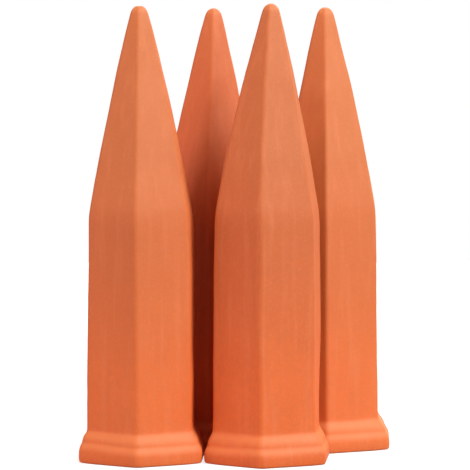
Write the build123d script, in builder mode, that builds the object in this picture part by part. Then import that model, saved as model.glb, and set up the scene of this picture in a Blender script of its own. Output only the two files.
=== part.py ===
from build123d import *
from math import cos, radians
import os

# Self watering spikes: a set of four hollow fired clay spikes that stand on their mouths.
# Millimetres, +Z up. The origin is the middle of the set's footprint, on the surface it stands on.
# The front of the set faces -Y, and each spike has one of its six corners towards the front.

os.makedirs("parts", exist_ok=True)

# Mouth and wall
neck_radius = 14.75  # the bottle neck that the mouth takes
neck_clearance = 0.75  # free play all round the neck
bore_depth = 22.0  # how far up the round bore runs
mouth_ease = 1.3  # bevel on the inner edge of the mouth
wall = 4.2  # clay between the chamber and the flats
chamber_end = 2.2  # centre to flat at the chamber's narrow end

# Body and point
body_height = 85.8  # from the collar's top to the shoulder
draft = 0.6  # how much each flat leans in from the collar to the shoulder
shoulder_radius = 40.0  # soft bend between body and point
point_height = 81.5  # from the shoulder to the very tip
flank_bow = 0.87  # how far the point's flats swell beyond a straight line
bow_share = 0.5  # where along the point they swell most
bow_radius = 60.0
corner_round = 2.3  # the six long corners, from the collar to the tip
tip_land = 0.5  # flat left between two corners at the tip
tip_round = 3.3  # dome on the very tip
tip_turn = 60  # degrees through which the dome falls before it runs out to the flats

# Collar
collar_overhang = 3.2  # how far the band stands out from the flats
band_corner_round = 3.0
band_height = 7.8
band_foot_bevel = 1.3  # worn lower edge of the band
band_shoulder_height = 2.4  # the band's own slope, below the groove
band_shoulder_inset = 1.0
groove_height = 0.9
groove_depth = 0.3  # how far the groove goes in behind the slopes above and below it
slope_height = 4.0  # from the upper slope's foot to where it would meet the flats unbent
cove_radius = 5.0  # hollow bend between the upper slope and the flats

# Places: in shares of the step between neighbours, with each spike's turn in degrees
standing_gap = 1.6  # clearance between two collars that stand flat to flat
place_shares = {
    "spike_front_left": (-0.767, 0.012),
    "spike_front_right": (0.253, -0.045),
    "spike_rear_left": (-0.222, 0.850),
    "spike_rear_right": (0.790, 0.868),
}
turns = {
    "spike_front_left": -4.0,
    "spike_front_right": -6.4,
    "spike_rear_left": -1.0,
    "spike_rear_right": -2.0,
}

# Worked out from the sizes above; a flat's size is its distance from the spike's middle
bore_radius = neck_radius + neck_clearance
shoulder_flat = bore_radius + wall
base_flat = shoulder_flat + draft
collar_flat = base_flat + collar_overhang
tip_flat = corner_round + tip_land
bow_flat = shoulder_flat + (tip_flat - shoulder_flat) * bow_share + flank_bow
slope_flat = collar_flat - band_shoulder_inset
slope_foot = band_height + groove_height
collar_height = slope_foot + slope_height
shoulder_height = collar_height + body_height
bow_height = shoulder_height + point_height * bow_share
total_height = shoulder_height + point_height
step = 2 * collar_flat + standing_gap


def hexagon(plane, flat, corner):
    """A six-sided section with rounded corners, one of them towards -Y of its plane."""
    with BuildSketch(plane) as section:
        RegularPolygon(radius=flat, side_count=6, major_radius=False, rotation=30)
        fillet(section.vertices(), radius=corner)
    return section.sketch


def side_plane(stand, turn):
    """The upright plane through a spike's middle and, at no turn, across its left and right flats."""
    across = stand.x_dir.rotate(Axis.Z, turn)
    return Plane(origin=stand.origin, x_dir=across, z_dir=across.rotate(Axis.Z, -90))


def outside_view(side):
    """The spike seen square to two of its flats: slope, cove, body, shoulder and point."""
    with BuildSketch(side) as view:
        with BuildLine():
            flats = FilletPolyline(
                (slope_flat, slope_foot),
                (base_flat, collar_height),
                (shoulder_flat, shoulder_height),
                (bow_flat, bow_height),
                (tip_flat, total_height),
                radius=[cove_radius, shoulder_radius, bow_radius],
            )
            Polyline(flats @ 1, (0, total_height), (0, slope_foot), flats @ 0)
        make_face()
        mirror(about=Plane.YZ)
    return view.sketch


def chamber_view(side):
    """The chamber seen the same way, one wall inside the flats of body and point."""
    end_share = (bow_flat - wall - chamber_end) / (bow_flat - tip_flat)
    end_height = bow_height + (total_height - bow_height) * end_share
    with BuildSketch(side) as view:
        with BuildLine():
            Polyline(
                (0, bore_depth),
                (base_flat - wall, bore_depth),
                (shoulder_flat - wall, shoulder_height),
                (bow_flat - wall, bow_height),
                (chamber_end, end_height),
                (0, end_height),
                close=True,
            )
        make_face()
        mirror(about=Plane.YZ)
    return view.sketch


def six_sided(stand, draw_view):
    """A body whose six flats all have one drawn side view: three crossing views, intersected."""
    views = [draw_view(side_plane(stand, turn)) for turn in (0, 60, 120)]
    with BuildPart() as body:
        extrude(views[0], amount=2 * collar_flat, both=True)
        extrude(views[1], amount=2 * collar_flat, both=True, mode=Mode.INTERSECT)
        extrude(views[2], amount=2 * collar_flat, both=True, mode=Mode.INTERSECT)
    return body.part


def build_outside(stand):
    """Slope, body and point, with the long corners rounded and a dome turned on the tip."""
    with BuildPart() as outside:
        add(six_sided(stand, outside_view))
        fillet(outside.edges() - outside.edges().filter_by(Plane.XY), radius=corner_round)
        with BuildSketch(side_plane(stand, 0)):
            with BuildLine():
                dome = JernArc((0, total_height), tangent=(1, 0), radius=tip_round, arc_size=-tip_turn)
                run_out = PolarLine(dome @ 1, length=tip_round, direction=dome % 1)
                reach = 2 * collar_flat
                Polyline(run_out @ 1, (reach, (run_out @ 1).Y), (reach, 0), (0, 0), dome @ 0)
            make_face()
        revolve(axis=Axis(stand.origin, stand.z_dir), mode=Mode.INTERSECT)
    return outside.part


def build_chamber(stand):
    """The six-sided chamber, with a cone that closes it down to the round bore."""
    corner_reach = (base_flat - wall) / cos(radians(30))
    with BuildPart() as chamber:
        add(six_sided(stand, chamber_view))
        with BuildSketch(side_plane(stand, 0)):
            with BuildLine():
                Polyline(
                    (0, bore_depth),
                    (bore_radius, bore_depth),
                    (corner_reach, bore_depth + corner_reach - bore_radius),
                    (corner_reach, total_height),
                    (0, total_height),
                    close=True,
                )
            make_face()
        revolve(axis=Axis(stand.origin, stand.z_dir), mode=Mode.INTERSECT)
    return chamber.part


def build_band(stand):
    """The band that the spike stands on, with the neck of the groove above it."""
    band_top = Plane(origin=stand.origin + stand.z_dir * band_height, x_dir=stand.x_dir)
    with BuildPart() as band:
        extrude(hexagon(stand, collar_flat, band_corner_round), amount=band_height)
        chamfer(band.faces().sort_by(Axis.Z)[0].edges(), length=band_foot_bevel)
        shoulder = band.faces().sort_by(Axis.Z)[-1]
        chamfer(shoulder.edges(), band_shoulder_inset, band_shoulder_height, reference=shoulder)
        extrude(hexagon(band_top, slope_flat - groove_depth, band_corner_round), amount=groove_height)
    return band.part


def build_spike(stand):
    """One spike on its stand plane: collar, body and point outside, bore and chamber inside."""
    with BuildPart() as spike:
        add(build_outside(stand))
        add(build_band(stand))
        add(build_chamber(stand), mode=Mode.SUBTRACT)

        # The round bore takes the bottle's neck, and its mouth is eased
        with BuildSketch(stand):
            Circle(bore_radius)
        extrude(amount=bore_depth, mode=Mode.SUBTRACT)
        mouth = spike.faces().sort_by(Axis.Z)[0].edges().filter_by(GeomType.CIRCLE).sort_by(SortBy.RADIUS)[-1]
        chamfer(mouth, length=mouth_ease)
    return spike


def stand_plane(name, middle):
    """Where a spike stands, with the middle of the set's footprint brought to the origin."""
    share_x, share_y = place_shares[name]
    origin = Vector(share_x * step, share_y * step) - middle
    return Plane(origin=origin, x_dir=Vector(1, 0, 0).rotate(Axis.Z, turns[name]))


# The middle of the footprint is measured on the four bands
bands = [hexagon(stand_plane(name, Vector()), collar_flat, band_corner_round) for name in place_shares]
middle = Compound(children=bands).bounding_box().center()

for name in place_shares:
    spike = build_spike(stand_plane(name, middle))
    spike.part.label = name
    export_step(spike.part, f"parts/{name}.step")
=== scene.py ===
import math

import bpy
from mathutils import Matrix, Vector


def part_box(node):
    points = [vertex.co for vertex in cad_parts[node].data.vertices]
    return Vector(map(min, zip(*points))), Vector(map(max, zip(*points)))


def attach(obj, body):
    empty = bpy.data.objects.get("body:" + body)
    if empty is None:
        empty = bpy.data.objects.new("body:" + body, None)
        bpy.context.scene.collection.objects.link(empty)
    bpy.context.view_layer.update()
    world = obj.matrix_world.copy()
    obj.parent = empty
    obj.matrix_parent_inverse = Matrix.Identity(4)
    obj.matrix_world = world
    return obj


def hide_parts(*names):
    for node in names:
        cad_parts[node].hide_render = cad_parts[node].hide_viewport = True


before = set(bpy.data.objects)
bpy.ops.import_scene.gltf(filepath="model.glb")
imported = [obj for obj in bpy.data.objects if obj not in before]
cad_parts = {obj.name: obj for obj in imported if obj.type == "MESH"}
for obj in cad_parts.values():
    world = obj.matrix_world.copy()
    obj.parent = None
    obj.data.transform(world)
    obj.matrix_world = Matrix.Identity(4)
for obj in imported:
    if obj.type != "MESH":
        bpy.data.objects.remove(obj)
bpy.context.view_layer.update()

# Four hollow spikes of unglazed fired clay, standing on their mouths. Sizes are in millimetres until
# they reach a mesh. Each spike is six-sided, and its "flat" is the distance from its middle to a side.
MM = 0.001
SIDES = 6
COS_30 = math.cos(math.radians(30))
TAN_30 = math.tan(math.radians(30))

# How each spike stands and how it differs from the pattern that all four are copied from:
#   turn    its turn about its own middle, in degrees
#   grow    how much taller it came out of the kiln
#   flare   how far its collar is pressed out on the right
#   hitch   how much higher the collar's groove sits on the left
#   tone    a colour that its clay is mixed towards, and toned how far
# and at seven heights from the floor to the tip:
#   lean    how far it leans to the right
#   swell   how much it is swollen across, as a share of its width
#   twist   how far it is twisted, in degrees
UNCHANGED = (0.0,) * 7
SPIKES = {
    "front_left": {
        "turn": -2.4, "grow": 0.45, "flare": 0.85, "hitch": 0.75, "tone": "#F29452", "toned": 0.14,
        "lean": (-0.05, 0.14, 0.40, 0.14, -0.05, -0.30, -0.45),
        "swell": (0.012, 0.02, 0.012, 0.012, 0.0, 0.0, 0.0),
        "twist": (0.3, -0.3, -1.8, -1.7, -1.2, 0.0, 0.0),
    },
    "front_right": {
        "turn": -6.2, "grow": 1.0, "flare": 0.8, "hitch": -0.5, "tone": "#F29452", "toned": 0.0,
        "lean": (0.10, 0.30, 0.52, 0.54, 0.68, 1.18, 1.82),
        "swell": (0.0, 0.0, 0.0, 0.0, 0.0, 0.0, -0.05),
        "twist": (1.5, 0.0, -1.2, -0.7, -1.6, -1.6, -2.0),
    },
    "rear_left": {
        # Its redder tone is painted shade: the deeper red of light bounced between the spikes around it
        "turn": -1.0, "grow": -0.7, "flare": 0.4, "hitch": 0.2, "tone": "#F0521A", "toned": 0.12,
        "lean": (-0.15, 0.08, 0.35, 0.66, 1.05, 1.60, 2.10),
        "swell": UNCHANGED,
        "twist": (0.0, 0.0, 0.0, -1.0, -1.5, 0.0, 0.0),
    },
    "rear_right": {
        "turn": -2.0, "grow": -0.5, "flare": 1.4, "hitch": 0.2, "tone": "#F29452", "toned": 0.17,
        "lean": (-0.21, -0.39, -0.60, -0.70, -0.95, -1.35, -1.70),
        "swell": UNCHANGED,
        "twist": UNCHANGED,
    },
}

# The outside from the floor up, as (height, flat)
FOOT_FLAT = 23.0
COLLAR = [
    # The band that the spike stands on, worn round below
    (0.2, 23.32), (0.6, 23.54), (1.2, 23.65), (2.2, 23.7), (3.2, 23.7), (4.0, 23.65), (4.7, 23.54),
    # Its own slope, and the shallow groove above it
    (5.4, 23.36), (6.0, 23.12), (6.6, 22.82), (7.2, 22.54), (7.7, 22.38), (8.1, 22.3), (8.6, 22.2),
    # The upper slope, and the hollow bend from it into the flats
    (9.3, 22.0), (10.0, 21.73), (10.6, 21.42), (11.2, 21.08), (11.8, 20.76),
    (12.4, 20.52), (13.0, 20.39), (13.7, 20.33), (15.5, 20.28),
]
BODY_END = (93.0, 19.75)
SHOULDER = [(95.0, 19.67), (97.0, 19.52), (99.0, 19.28), (101.0, 18.98), (103.5, 18.55)]
POINT_END = (177.0, 3.46)
POINT_BOW = 0.75  # how far the point's flats swell beyond a straight line
DOME = [(177.9, 3.08), (178.7, 2.55), (179.3, 1.94), (179.7, 1.3), (179.95, 0.58)]
DOME_INSET = 0.3
RINGS_PER_RUN = 14  # rings up the body, and again up the point, close enough to be warped smoothly

# Corner radius of the outside, as (height, radius): full on the collar, tighter on the body and crisper
# to the tip
CORNERS = [(0.0, 2.8), (8.0, 2.8), (15.5, 1.8), (100.0, 1.8), (180.0, 1.4)]

# The inside: a round bore at the mouth, then a six-sided chamber one wall inside the flats
MOUTH_START = 0.15
MOUTH_RADIUS = 16.6
MOUTH_EDGE = [(0.5, 16.05), (1.1, 15.65), (1.8, 15.5)]
BORE = [(11.0, 15.5), (22.0, 15.5), (23.0, 15.75)]
CHAMBER_START = 25.0
CHAMBER_START_FLAT = 16.1
CHAMBER = [(62.0, 15.85), (97.0, 15.5), (104.0, 14.4), (139.0, 8.0), (158.0, 3.6), (164.0, 2.0)]
CHAMBER_CORNER = 1.8

# How finely the parts are divided. The round bore has as many steps as the six sides and corners together.
CORNER_STEPS = 4
FLAT_CUTS = 7
RIM_CUTS = 2
ROUND_STEPS = SIDES * (CORNER_STEPS + FLAT_CUTS + 1)

# How near counts as level, as being at a loop's height, and as running along a flat, in degrees, and how
# much of a face's normal points up or down when it looks that way
LEVEL = 0.01
AT_HEIGHT = 0.1
ALONG = 3.0
LOOKS_UPRIGHT = 0.9

# The cage that warps a spike
CAGE_ACROSS = 60.0
CAGE_HEIGHT = 180.0

# Where each push sets in and where it is full: heights, and distances to the right of the spike's middle
PRESSED_HEIGHTS = (15.5, 4.5)
PRESSED_ACROSS = (2.0, 20.0)
GROOVE_FROM_BELOW = (2.0, 5.5)
GROOVE_FROM_ABOVE = (14.0, 8.0)
GROOVE_ACROSS = (-4.0, -18.0)
WORN_HEIGHTS = (2.6, 0.2)
WORN_ACROSS = (17.0, 26.0)
FOOT_WEAR = 0.25

# The clay's unevenness, as (name, size of its waves, how far it moves the surface). The foot is trimmed
# level, and the unevenness sets in above it.
UNEVENNESS = (("sag", 28.0, 0.7), ("sponge_marks", 7.0, 0.16))
TRIMMED_HEIGHT = 0.5
SETS_IN_OVER = 6.0
SMOOTH_ANGLE = 45.0

# One tip is chipped: which, the height of the flat that is left, and how steeply that rises to the right
CHIPPED = "front_left"
CHIP_HEIGHT = 180.02
CHIP_RISE = 0.05
CHIP_REACH = 0.001  # how near the cut a point counts as on it: 0.1 mm is as long as some edges there

# The clay's colour: how wide its patterns are, and the heights between which it changes. Grog, which is fine
# grains of fired clay, is half a millimetre wide, and is drawn at twice that because it wouldn't show.
CLOUD_SIZE = 35
MOTTLE_SIZE = 3
GROG_SIZE = 1
GRAIN_SIZE = 0.5
STREAK_WIDTH = 3
STREAK_HEIGHT = 40
DRIER_FROM = 30
DRIEST_FROM = 120
BELT_FOOT = 40
BELT_FULL_FROM = 75
BELT_FULL_TO = 85
BELT_HEAD = 125
# The painted contact shadow: a thin dark band round the foot, between these two heights
CONTACT_SHADE_TOP = 0.6
CONTACT_SHADE_FULL_TO = 0.2

# The camera, with its place in metres and how many degrees it looks down
SENSOR_MM = 36.0
LENS_MM = 257.6
CAMERA_PLACE = (-0.00038, -1.3492, 0.18074)
CAMERA_DIP = 3.927

# The studio, in metres. A lamp has its azimuth from the front, its elevation, its watts and its colour.
WHITE = "#FFFFFF"
FLOOR_SIZE = 2.0
FLOOR_COLOUR = "#B4B4B4"
FLOOR_GLOW = 0.8
WORLD_LIGHT = 0.02
LAMPS_AIM = Vector((0, 0, 0.09))
LAMP_DISTANCE = 1.6
LAMP_SIZE = 0.8
LAMPS = {
    "right_high": (47, 50, 24.0, WHITE),
    "right_low": (45, 12, 7.5, WHITE),
    "left_low": (-69, 12, 13.4, "#FFCFBC"),
    "back_left": (-174, 35, 8.5, WHITE),
    "back_right": (158, 35, 8.5, WHITE),
}


# Camera

def place_camera():
    """A long lens at the photograph's viewpoint, a little above the tips and looking slightly down."""
    data = bpy.data.cameras.new("camera")
    data.sensor_width = SENSOR_MM
    data.lens = LENS_MM
    camera = bpy.data.objects.new("camera", data)
    camera.location = CAMERA_PLACE
    camera.rotation_euler = (math.radians(90.0 - CAMERA_DIP), 0.0, 0.0)
    bpy.context.scene.collection.objects.link(camera)
    bpy.context.scene.camera = camera


# Modelling steps

def let_go():
    """Leaves edit mode and deselects everything."""
    if bpy.context.object is not None and bpy.context.object.mode != "OBJECT":
        bpy.ops.object.mode_set(mode="OBJECT")
    bpy.ops.object.select_all(action="DESELECT")


def take_up(piece):
    """Makes one piece the selected and active one."""
    let_go()
    piece.select_set(True)
    bpy.context.view_layer.objects.active = piece


def select_parts(piece, kind, wanted):
    """Enters edit mode with only those edges or faces selected that the test wants."""
    take_up(piece)
    bpy.context.tool_settings.mesh_select_mode = (False, kind == "EDGE", kind == "FACE")
    mesh = piece.data
    for group in (mesh.vertices, mesh.edges, mesh.polygons):
        group.foreach_set("select", [False] * len(group))
    for part in (mesh.edges if kind == "EDGE" else mesh.polygons):
        part.select = wanted(part)
    bpy.ops.object.mode_set(mode="EDIT")


def open_edges(piece):
    """The edges that border only one face, as a set of their vertex pairs."""
    uses = {}
    for face in piece.data.polygons:
        for key in face.edge_keys:
            uses[key] = uses.get(key, 0) + 1
    return {key for key, count in uses.items() if count == 1}


def start_ring(name, sides, radius, height, fill):
    """A ring lying flat at a height, open in edit mode with all of it selected."""
    let_go()
    bpy.ops.mesh.primitive_circle_add(
        vertices=sides, radius=radius * MM, fill_type=fill, location=(0, 0, height * MM)
    )
    piece = bpy.context.object
    piece.name = name
    bpy.ops.object.transform_apply(location=True, rotation=False, scale=False)
    bpy.context.tool_settings.mesh_select_mode = (False, True, False)
    bpy.ops.object.mode_set(mode="EDIT")
    bpy.ops.mesh.select_all(action="SELECT")
    return piece


def even_rings(start, end, bow=0.0):
    """(height, flat) pairs at even steps after the start and up to the end, bowed outwards in the middle."""
    (low, low_flat), (high, high_flat) = start, end
    rings = []
    for step in range(1, RINGS_PER_RUN + 1):
        share = step / RINGS_PER_RUN
        swell = 4 * bow * share * (1 - share)
        rings.append((low + (high - low) * share, low_flat + (high_flat - low_flat) * share + swell))
    return rings


def pull_up(height, flat, profile):
    """Extrudes the selection up through (height, flat) pairs, scaling it about the middle each time."""
    for next_height, next_flat in profile:
        bpy.ops.mesh.extrude_region_move(
            TRANSFORM_OT_translate={"value": (0, 0, (next_height - height) * MM)}
        )
        grow = next_flat / flat
        bpy.ops.transform.resize(value=(grow, grow, 1), center_override=(0, 0, next_height * MM))
        height, flat = next_height, next_flat


def round_long_corners(piece, radius_at):
    """Bevels the six corners that run up a piece, with its own corner radius at each height."""
    bpy.ops.object.mode_set(mode="OBJECT")
    mesh = piece.data
    widest = 6.0  # above every radius that is asked for, because a bevel's weight goes up to 1
    weights = mesh.attributes.new("bevel_weight_edge", "FLOAT", "EDGE")
    for edge in mesh.edges:
        low, high = (mesh.vertices[index].co.z for index in edge.vertices)
        if abs(high - low) > LEVEL * MM:
            weights.data[edge.index].value = radius_at((low + high) / 2 / MM) / widest
    take_up(piece)
    bevel = piece.modifiers.new("corners", "BEVEL")
    bevel.limit_method = "WEIGHT"
    bevel.offset_type = "OFFSET"
    bevel.width = widest * TAN_30 * MM
    bevel.segments = CORNER_STEPS
    bpy.ops.object.modifier_apply(modifier="corners")


def divide_flats(piece):
    """Cuts the six flats into upright strips, so that they can later be warped a little."""
    points = piece.data.vertices

    def along_a_flat(edge):
        run = points[edge.vertices[1]].co - points[edge.vertices[0]].co
        turn = math.degrees(math.atan2(run.y, run.x)) % (360 / SIDES)
        return abs(run.z) < LEVEL * MM and abs(turn - 180 / SIDES) < ALONG

    select_parts(piece, "EDGE", along_a_flat)
    bpy.ops.mesh.subdivide(number_cuts=FLAT_CUTS)
    bpy.ops.object.mode_set(mode="OBJECT")


def open_underside(piece):
    """Deletes the face that a pulled-up ring leaves at its foot."""
    foot = min(face.center.z for face in piece.data.polygons) + LEVEL * MM
    select_parts(piece, "FACE", lambda face: face.center.z < foot)
    bpy.ops.mesh.delete(type="ONLY_FACE")
    bpy.ops.object.mode_set(mode="OBJECT")


def bridge(piece, low, high, cuts=0):
    """Joins the two open loops at two heights."""
    border = open_edges(piece)
    points = piece.data.vertices

    def in_reach(edge):
        height = points[edge.vertices[0]].co.z / MM
        return tuple(sorted(edge.vertices)) in border and low - AT_HEIGHT < height < high + AT_HEIGHT

    select_parts(piece, "EDGE", in_reach)
    bpy.ops.mesh.bridge_edge_loops(number_cuts=cuts, interpolation="LINEAR")
    bpy.ops.object.mode_set(mode="OBJECT")


# One spike

def outside_corner(height):
    """The outside's corner radius at a height, from the rows of CORNERS on either side of it."""
    for (low, low_radius), (high, high_radius) in zip(CORNERS, CORNERS[1:]):
        if height < high:
            return low_radius + (high_radius - low_radius) * (height - low) / (high - low)
    return high_radius


def shape_outside():
    """Collar, body, shoulder and point pulled up from a six-sided ring, with the dome on the tip."""
    piece = start_ring("outside", SIDES, FOOT_FLAT / COS_30, 0.0, "NGON")
    body = even_rings(COLLAR[-1], BODY_END)
    point = even_rings(SHOULDER[-1], POINT_END, POINT_BOW)
    pull_up(0.0, FOOT_FLAT, COLLAR + body + SHOULDER + point)
    round_long_corners(piece, outside_corner)
    divide_flats(piece)

    # The top face is nearly round by now, and the dome is pulled up from it
    top = (POINT_END[0] - AT_HEIGHT) * MM
    select_parts(piece, "FACE", lambda face: face.center.z > top and abs(face.normal.z) > LOOKS_UPRIGHT)
    pull_up(*POINT_END, DOME)
    bpy.ops.mesh.inset(thickness=DOME_INSET * MM)
    bpy.ops.mesh.merge(type="COLLAPSE")
    bpy.ops.object.mode_set(mode="OBJECT")
    open_underside(piece)
    return piece


def shape_chamber():
    """The six-sided chamber, open at its foot."""
    piece = start_ring("chamber", SIDES, CHAMBER_START_FLAT / COS_30, CHAMBER_START, "NGON")
    pull_up(CHAMBER_START, CHAMBER_START_FLAT, CHAMBER)
    round_long_corners(piece, lambda height: CHAMBER_CORNER)
    divide_flats(piece)
    open_underside(piece)
    return piece


def shape_bore():
    """The round bore with its eased mouth, open at both ends."""
    piece = start_ring("bore", ROUND_STEPS, MOUTH_RADIUS, MOUTH_START, "NOTHING")
    pull_up(MOUTH_START, MOUTH_RADIUS, MOUTH_EDGE + BORE)
    bpy.ops.object.mode_set(mode="OBJECT")
    return piece


def shape_spike():
    """One closed shell: outside, mouth rim, bore and chamber."""
    spike = shape_outside()
    chamber = shape_chamber()
    bore = shape_bore()
    take_up(spike)
    chamber.select_set(True)
    bore.select_set(True)
    bpy.ops.object.join()
    spike.name = "spike_pattern"
    bridge(spike, 0.0, MOUTH_START, RIM_CUTS)
    bridge(spike, BORE[-1][0], CHAMBER_START)
    bpy.ops.object.mode_set(mode="EDIT")
    bpy.ops.mesh.select_all(action="SELECT")
    bpy.ops.mesh.normals_make_consistent(inside=False)
    bpy.ops.object.mode_set(mode="OBJECT")
    return spike


# The four spikes

def warp(piece, place, ways):
    """Warps a standing spike with a cage of seven storeys, as it sagged and leaned before firing."""
    let_go()
    bpy.ops.object.add(type="LATTICE", location=(place.x, place.y, CAGE_HEIGHT / 2 * MM))
    cage = bpy.context.object
    storeys = len(ways["lean"])
    cage.data.points_u, cage.data.points_v, cage.data.points_w = 2, 2, storeys
    cage.data.interpolation_type_u = cage.data.interpolation_type_v = "KEY_LINEAR"
    cage.data.interpolation_type_w = "KEY_CATMULL_ROM"
    cage.scale = (CAGE_ACROSS * MM, CAGE_ACROSS * MM, CAGE_HEIGHT * MM)
    for index, point in enumerate(cage.data.points):
        storey = index // 4  # each storey has two points by two
        twist = Matrix.Rotation(math.radians(ways["twist"][storey]), 3, "Z")
        point.co_deform = twist @ point.co
        point.co_deform.x += ways["lean"][storey] * MM / cage.scale.x
        point.co_deform.x += ways["swell"][storey] * point.co.x
        point.co_deform.z += ways["grow"] * storey / (storeys - 1) * MM / cage.scale.z
    take_up(piece)
    bend = piece.modifiers.new("warp", "LATTICE")
    bend.object = cage
    bpy.ops.object.modifier_apply(modifier="warp")
    bpy.data.objects.remove(cage)


def ease(value, start, end):
    """0 before the start, 1 after the end and a smooth rise between them."""
    share = max(0.0, min(1.0, (value - start) / (end - start)))
    return share * share * (3 - 2 * share)


def push(piece, place, name, direction, amount, weight):
    """Moves part of a piece along one axis, each point as far as its weight from 0 to 1 says. The weight
    is worked out from the point's height and its distance to the right of the piece's middle."""
    group = piece.vertex_groups.new(name=name)
    for vertex in piece.data.vertices:
        height, across = vertex.co.z / MM, (vertex.co.x - place.x) / MM
        group.add([vertex.index], weight(height, across), "REPLACE")
    take_up(piece)
    move = piece.modifiers.new(name, "DISPLACE")
    move.direction = direction
    move.mid_level = 0.0
    move.strength = amount * MM
    move.vertex_group = name
    bpy.ops.object.modifier_apply(modifier=name)
    piece.vertex_groups.clear()


def press_out(piece, place, ways):
    """Pushes the right side of the collar further out, as the mould's seam left it."""
    def right_side(height, across):
        return ease(height, *PRESSED_HEIGHTS) * ease(across, *PRESSED_ACROSS)

    push(piece, place, "pressed_side", "X", ways["flare"], right_side)


def hitch_groove(piece, place, ways):
    """Raises or lowers the left end of the collar's groove, where the mould was cut unevenly."""
    def left_groove(height, across):
        beside_groove = ease(height, *GROOVE_FROM_BELOW) * ease(height, *GROOVE_FROM_ABOVE)
        return beside_groove * ease(across, *GROOVE_ACROSS)

    push(piece, place, "left_groove", "Z", ways["hitch"], left_groove)


def wear_foot(piece, place):
    """Wears the foot away under its left and right corners, so that it stands on its middle."""
    def worn_corners(height, across):
        return ease(height, *WORN_HEIGHTS) * ease(abs(across), *WORN_ACROSS)

    push(piece, place, "worn_corners", "Z", FOOT_WEAR, worn_corners)


def hand_finish(piece):
    """Softens the shell and gives it the slight unevenness of clay that was cast, trimmed and sponged."""
    take_up(piece)
    smooth = piece.modifiers.new("soften", "SUBSURF")
    smooth.levels = smooth.render_levels = 1
    bpy.ops.object.modifier_apply(modifier="soften")

    group = piece.vertex_groups.new(name="free_surface")
    for vertex in piece.data.vertices:
        height = vertex.co.z / MM
        weight = max(0.0, min(1.0, (height - TRIMMED_HEIGHT) / SETS_IN_OVER))
        group.add([vertex.index], weight, "REPLACE")
    for name, size, depth in UNEVENNESS:
        pattern = bpy.data.textures.new(name, "CLOUDS")
        pattern.noise_scale = size * MM
        pattern.noise_depth = 1
        uneven = piece.modifiers.new(name, "DISPLACE")
        uneven.texture = pattern
        uneven.texture_coords = "LOCAL"
        uneven.vertex_group = "free_surface"
        uneven.strength = depth * MM
        uneven.mid_level = 0.5
        bpy.ops.object.modifier_apply(modifier=name)
    piece.vertex_groups.clear()
    bpy.ops.object.shade_smooth_by_angle(angle=math.radians(SMOOTH_ANGLE))


def chip_tip(piece, place):
    """Takes the very tip off, where a knock has left a small flat with a sharp right edge."""
    select_parts(piece, "FACE", lambda face: True)
    bpy.ops.mesh.bisect(
        plane_co=(place.x, place.y, CHIP_HEIGHT * MM), plane_no=(-CHIP_RISE, 0, 1),
        use_fill=True, clear_outer=True, threshold=CHIP_REACH * MM,
    )
    bpy.ops.object.mode_set(mode="OBJECT")


def make_spikes():
    """Copies the pattern to where each spike stands and makes each copy different."""
    pattern = shape_spike()
    for name, ways in SPIKES.items():
        node = "spike_" + name
        low, high = (Vector(corner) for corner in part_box(node))
        place = (low + high) / 2
        spike = pattern.copy()
        spike.data = pattern.data.copy()
        spike.name = spike.data.name = "clay_" + node
        bpy.context.scene.collection.objects.link(spike)
        take_up(spike)
        spike.rotation_euler = (0, 0, math.radians(ways["turn"]))
        spike.location = (place.x, place.y, 0)
        bpy.ops.object.transform_apply(location=True, rotation=True, scale=False)
        warp(spike, place, ways)
        press_out(spike, place, ways)
        hitch_groove(spike, place, ways)
        wear_foot(spike, place)
        hand_finish(spike)
        if name == CHIPPED:
            chip_tip(spike, place)
        spike.data.materials.clear()
        spike.data.materials.append(terracotta(name, ways["tone"], ways["toned"]))
        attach(spike, name)
        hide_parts(node)
    bpy.data.objects.remove(pattern)


# Finish

# The sockets of a colour mix
MIX_FACTOR, MIX_A, MIX_B, MIX_OUT = 0, 6, 7, 2


def linear(hex_colour):
    """An sRGB hex colour as linear RGBA."""
    parts = [int(hex_colour[i:i + 2], 16) / 255 for i in (1, 3, 5)]
    return [c / 12.92 if c <= 0.04045 else ((c + 0.055) / 1.055) ** 2.4 for c in parts] + [1.0]


def every(size_mm):
    """The noise scale whose features repeat about every so many millimetres."""
    return 1.0 / (size_mm * MM)


def new_tree(owner):
    """The node tree of a material or a world, emptied."""
    owner.use_nodes = True
    owner.node_tree.nodes.clear()
    return owner.node_tree


def add(tree, kind, inputs=None, **settings):
    """Adds a node, sets it, and links or sets its inputs."""
    node = tree.nodes.new(kind)
    for name, value in settings.items():
        setattr(node, name, value)
    for name, value in (inputs or {}).items():
        if isinstance(value, bpy.types.NodeSocket):
            tree.links.new(value, node.inputs[name])
        else:
            node.inputs[name].default_value = value
    return node


def tint(tree, clay, colour, pattern, start, end, most=1.0):
    """Lets another colour into the clay, from none at the pattern's start to the most at its end."""
    share = add(tree, "ShaderNodeMapRange", {
        "Value": pattern, "From Min": start, "From Max": end, "To Max": most,
    })
    tinted = add(tree, "ShaderNodeMix", {
        MIX_FACTOR: share.outputs["Result"], MIX_A: clay, MIX_B: linear(colour),
    }, data_type="RGBA")
    return tinted.outputs[MIX_OUT]


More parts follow.
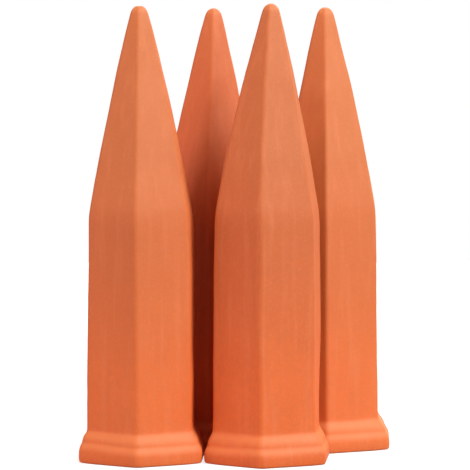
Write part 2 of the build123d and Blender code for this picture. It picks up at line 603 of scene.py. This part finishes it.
def fired_clay(tree, place, height, mottling):
    """The clay's own colour as it came out of the kiln, with the marks that were fired into it."""
    clouds = add(tree, "ShaderNodeTexNoise", {
        "Vector": place, "Scale": every(CLOUD_SIZE), "Detail": 3.0, "Roughness": 0.55,
    })
    clay = tint(tree, linear("#E56822"), "#EC6E28", clouds.outputs["Fac"], 0.35, 0.65)

    # Drier and paler towards the tip, which stood hottest in the kiln
    clay = tint(tree, clay, "#CC6A32", height, DRIER_FROM * MM, DRIEST_FROM * MM)

    # A little duller at half height
    above = add(tree, "ShaderNodeMapRange", {
        "Value": height, "From Min": BELT_FOOT * MM, "From Max": BELT_FULL_FROM * MM,
    })
    below = add(tree, "ShaderNodeMapRange", {
        "Value": height, "From Min": BELT_HEAD * MM, "From Max": BELT_FULL_TO * MM,
    })
    belt = add(tree, "ShaderNodeMath", {
        0: above.outputs["Result"], 1: below.outputs["Result"],
    }, operation="MULTIPLY")
    clay = tint(tree, clay, "#C45E28", belt.outputs["Value"], 0.0, 1.0, most=0.27)

    # Upright streaks from the sponge
    drawn_out = add(tree, "ShaderNodeMapping", {
        "Vector": place, "Scale": (1.0, 1.0, STREAK_WIDTH / STREAK_HEIGHT),
    })
    streaks = add(tree, "ShaderNodeTexNoise", {
        "Vector": drawn_out.outputs["Vector"], "Scale": every(STREAK_WIDTH), "Detail": 2.0,
    })
    clay = tint(tree, clay, "#EE8A58", streaks.outputs["Fac"], 0.5, 0.72, most=0.24)

    # The clay body's own mottling and its grog
    clay = tint(tree, clay, "#BC5A32", mottling, 0.3, 0.7, most=0.18)
    grog = add(tree, "ShaderNodeTexNoise", {"Vector": place, "Scale": every(GROG_SIZE), "Detail": 1.0})
    return tint(tree, clay, "#EE9A6C", grog.outputs["Fac"], 0.5, 0.8, most=0.12)


def clay_with_painted_light_and_shade(tree, clay, height):
    """The fired clay's colour with a painted highlight where it faces up and a painted shadow round its
    foot.
    """
    surface = add(tree, "ShaderNodeNewGeometry").outputs["Normal"]
    upwards = add(tree, "ShaderNodeSeparateXYZ", {"Vector": surface}).outputs["Z"]

    # Painted highlight, paler where the surface looks upwards: the collar's slopes and the very tip
    clay = tint(tree, clay, "#F49C64", upwards, 0.12, 0.45, most=0.42)

    # Painted contact shadow: a thin dark line just above the floor, which stops at the rim's edge
    foot = add(tree, "ShaderNodeMapRange", {
        "Value": height, "From Min": CONTACT_SHADE_TOP * MM, "From Max": CONTACT_SHADE_FULL_TO * MM,
    })
    side = add(tree, "ShaderNodeMapRange", {"Value": upwards, "From Min": -0.9, "From Max": -0.6})
    contact_shade = add(tree, "ShaderNodeMath", {
        0: foot.outputs["Result"], 1: side.outputs["Result"],
    }, operation="MULTIPLY")
    return tint(tree, clay, "#4A281A", contact_shade.outputs["Value"], 0.0, 1.0, most=0.8)


def terracotta(name, tone, toned):
    """Unglazed terracotta, slip cast, sponged and fired: a dry orange clay without any gloss, a little
    cloudy from the firing, with faint upright streaks from sponging, a painted highlight where the surface
    looks upwards and a fine grain that takes the edge off every highlight."""
    material = bpy.data.materials.new("unglazed_slip_cast_terracotta_" + name)
    tree = new_tree(material)
    place = add(tree, "ShaderNodeTexCoord").outputs["Object"]
    height = add(tree, "ShaderNodeSeparateXYZ", {"Vector": place}).outputs["Z"]
    mottling = add(tree, "ShaderNodeTexNoise", {
        "Vector": place, "Scale": every(MOTTLE_SIZE), "Detail": 4.0, "Roughness": 0.6,
    }).outputs["Fac"]

    # Each spike is mixed towards its own tone: two a little paler, and one redder, which is painted shade
    toned_and_shaded = add(tree, "ShaderNodeMix", {
        MIX_FACTOR: toned, MIX_A: fired_clay(tree, place, height, mottling), MIX_B: linear(tone),
    }, data_type="RGBA")
    clay = clay_with_painted_light_and_shade(tree, toned_and_shaded.outputs[MIX_OUT], height)

    # The clay's fine grain over the broader sponge marks, which follow the mottling
    marks = add(tree, "ShaderNodeBump", {"Height": mottling, "Strength": 0.4, "Distance": 0.1 * MM})
    grain = add(tree, "ShaderNodeTexNoise", {"Vector": place, "Scale": every(GRAIN_SIZE), "Detail": 2.0})
    relief = add(tree, "ShaderNodeBump", {
        "Height": grain.outputs["Fac"], "Strength": 0.3, "Distance": 0.04 * MM,
        "Normal": marks.outputs["Normal"],
    })

    shader = add(tree, "ShaderNodeBsdfPrincipled", {
        "Base Color": clay, "Normal": relief.outputs["Normal"],
        "Roughness": 0.62, "Diffuse Roughness": 0.2, "Specular IOR Level": 0.5,
    })
    add(tree, "ShaderNodeOutputMaterial", {"Surface": shader.outputs["BSDF"]})
    return material


# Studio

def seen_directly(tree):
    """1 for what the camera sees, also through a reflection or glass, and 0 for the light on the object."""
    rays = add(tree, "ShaderNodeLightPath").outputs
    mirrored = add(tree, "ShaderNodeMath", {
        0: rays["Is Camera Ray"], 1: rays["Is Glossy Ray"],
    }, operation="ADD")
    seen = add(tree, "ShaderNodeMath", {
        0: mirrored.outputs["Value"], 1: rays["Is Transmission Ray"],
    }, operation="ADD", use_clamp=True)
    return seen.outputs["Value"]


def set_floor():
    """A plain white table top that keeps the spikes' shadow and shows as white around it."""
    let_go()
    bpy.ops.mesh.primitive_plane_add(size=FLOOR_SIZE, location=(0, 0, 0))
    floor = bpy.context.object
    floor.name = "floor"
    material = bpy.data.materials.new("white_matte_table_top")
    tree = new_tree(material)
    paper = add(tree, "ShaderNodeBsdfDiffuse", {"Color": linear(FLOOR_COLOUR)})
    lift = add(tree, "ShaderNodeMath", {0: seen_directly(tree), 1: FLOOR_GLOW}, operation="MULTIPLY")
    glow = add(tree, "ShaderNodeEmission", {"Color": linear(WHITE), "Strength": lift.outputs["Value"]})
    both = add(tree, "ShaderNodeAddShader", {0: paper.outputs["BSDF"], 1: glow.outputs["Emission"]})
    add(tree, "ShaderNodeOutputMaterial", {"Surface": both.outputs["Shader"]})
    floor.data.materials.append(material)


def set_world():
    """White for the camera all round, and hardly any light from it on the spikes."""
    world = bpy.data.worlds.new("studio")
    bpy.context.scene.world = world
    tree = new_tree(world)
    level = add(tree, "ShaderNodeMapRange", {
        "Value": seen_directly(tree), "To Min": WORLD_LIGHT, "To Max": 1.0,
    })
    sky = add(tree, "ShaderNodeBackground", {"Color": linear(WHITE), "Strength": level.outputs["Result"]})
    add(tree, "ShaderNodeOutputWorld", {"Surface": sky.outputs["Background"]})


def add_softbox(name, azimuth, elevation, power, colour):
    """A square lamp that looks at the spikes' middle."""
    data = bpy.data.lights.new(name, "AREA")
    data.shape = "SQUARE"
    data.size = LAMP_SIZE
    data.energy = power
    data.color = linear(colour)[:3]
    turn, rise = math.radians(azimuth), math.radians(elevation)
    away = Vector((math.sin(turn) * math.cos(rise), -math.cos(turn) * math.cos(rise), math.sin(rise)))
    place = LAMPS_AIM + LAMP_DISTANCE * away
    lamp = bpy.data.objects.new(name, data)
    lamp.location = place
    lamp.rotation_euler = (LAMPS_AIM - place).to_track_quat("-Z", "Y").to_euler()
    bpy.context.scene.collection.objects.link(lamp)


def set_studio():
    """A softbox high on the right, a weaker one below, a warm one low on the left and two for the backs."""
    set_floor()
    set_world()
    for name, (azimuth, elevation, power, colour) in LAMPS.items():
        add_softbox(name, azimuth, elevation, power, colour)


place_camera()
make_spikes()
set_studio()

bpy.context.scene.view_settings.view_transform = "Standard"
